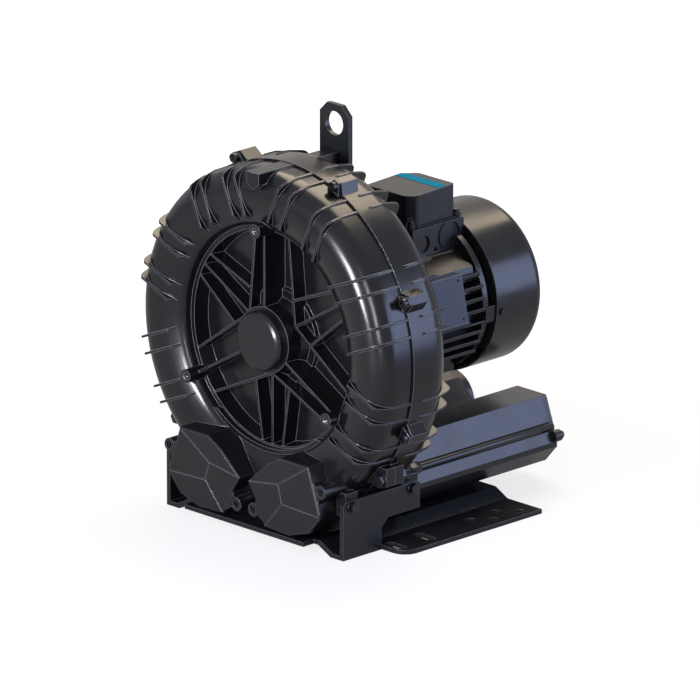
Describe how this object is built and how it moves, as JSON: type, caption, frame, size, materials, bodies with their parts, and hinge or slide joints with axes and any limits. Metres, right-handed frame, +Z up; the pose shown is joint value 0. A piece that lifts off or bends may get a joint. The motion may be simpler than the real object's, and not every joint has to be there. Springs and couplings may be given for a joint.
{
  "type": "side channel blower",
  "caption": "Direct-driven side channel blower on a bent steel base: ribbed ring housing, blind front caps, rear silencers with pipe ports, finned motor and lifting eye.",
  "frame": {"origin": "on the floor, at the centre of the four slots in the base feet; the shaft axis passes above it", "axes": "+X to the right seen from the front cover, +Y back along the shaft towards the motor, +Z up"},
  "size_m": [0.382, 0.3782, 0.454],
  "materials": {
    "cast_housing": "satin",
    "cast_motor": "satin",
    "sheet_base": "satin",
    "sheet_cowl": "satin",
    "cap_black": "matte",
    "hub_cap_black": "satin",
    "silencer_black": "satin",
    "bolt_black": "satin",
    "box_black": "satin",
    "plug_black": "satin",
    "plate_dark": "satin",
    "label_teal": "matte",
    "gasket_rubber": "matte",
    "foam_grey": "matte",
    "tube_steel": "satin",
    "shaft_steel": "satin",
    "spring_steel": "satin",
    "core_steel": "matte",
    "copper": "satin",
    "impeller_aluminium": "satin",
    "fan_plastic": "matte",
    "block_plastic": "matte",
    "bearing_steel": "polished",
    "cage_brass": "satin"
  },
  "bodies": {
    "housing": {"base_frame": "sheet_base", "base_screws": "bolt_black", "cap_gaskets": "gasket_rubber", "cap_screws": "bolt_black", "cover_bolts": "bolt_black", "cowl_screws": "bolt_black", "drive_end_screws": "bolt_black", "drive_end_shield": "cast_housing", "eye_screws": "bolt_black", "fan_cowl": "sheet_cowl", "front_bearing_outer_ring": "bearing_steel", "front_cap_left": "cap_black", "front_cap_right": "cap_black", "front_cover": "cast_housing", "hub_cap": "hub_cap_black", "knock_out_plugs": "plug_black", "lifting_eye": "sheet_base", "motor_frame": "cast_motor", "preload_spring": "spring_steel", "rating_plate": "plate_dark", "rear_bearing_outer_ring": "bearing_steel", "rear_end_shield": "cast_motor", "rear_housing": "cast_housing", "shaft_seals": "gasket_rubber", "silencer_end_cap_left": "cap_black", "silencer_end_cap_right": "cap_black", "silencer_foam_left": "foam_grey", "silencer_foam_right": "foam_grey", "silencer_gaskets": "gasket_rubber", "silencer_left": "silencer_black", "silencer_right": "silencer_black", "silencer_tube_left": "tube_steel", "silencer_tube_right": "tube_steel", "stator_core": "core_steel", "stator_windings": "copper", "terminal_block": "block_plastic", "terminal_box_base": "box_black", "terminal_box_cover": "box_black", "terminal_box_gasket": "gasket_rubber", "terminal_box_screws": "bolt_black", "tie_rods": "bolt_black"},
    "rotor": {"motor_shaft": "shaft_steel", "rotor_core": "core_steel", "impeller": "impeller_aluminium", "impeller_key": "shaft_steel", "cooling_fan": "fan_plastic", "retaining_rings": "spring_steel", "front_bearing_inner_ring": "bearing_steel", "rear_bearing_inner_ring": "bearing_steel"},
    "front_cage": {"front_bearing_cage": "cage_brass"},
    "rear_cage": {"rear_bearing_cage": "cage_brass"}
  },
  "joints": [
    {"name": "rotor_spin", "type": "hinge", "parent": "housing", "child": "rotor", "pos_m": [0, 0, 0.213], "axis": [0, 1, 0], "continuous": true},
    {"name": "front_cage_spin", "type": "hinge", "parent": "housing", "child": "front_cage", "pos_m": [0, -0.0625, 0.213], "axis": [0, 1, 0], "continuous": true},
    {"name": "rear_cage_spin", "type": "hinge", "parent": "housing", "child": "rear_cage", "pos_m": [0, 0.1915, 0.213], "axis": [0, 1, 0], "continuous": true}
  ],
  "couplings": [
    {"joint": "front_cage_spin", "follows": "rotor_spin", "ratio": 0.3987},
    {"joint": "rear_cage_spin", "follows": "rotor_spin", "ratio": 0.3987}
  ]
}
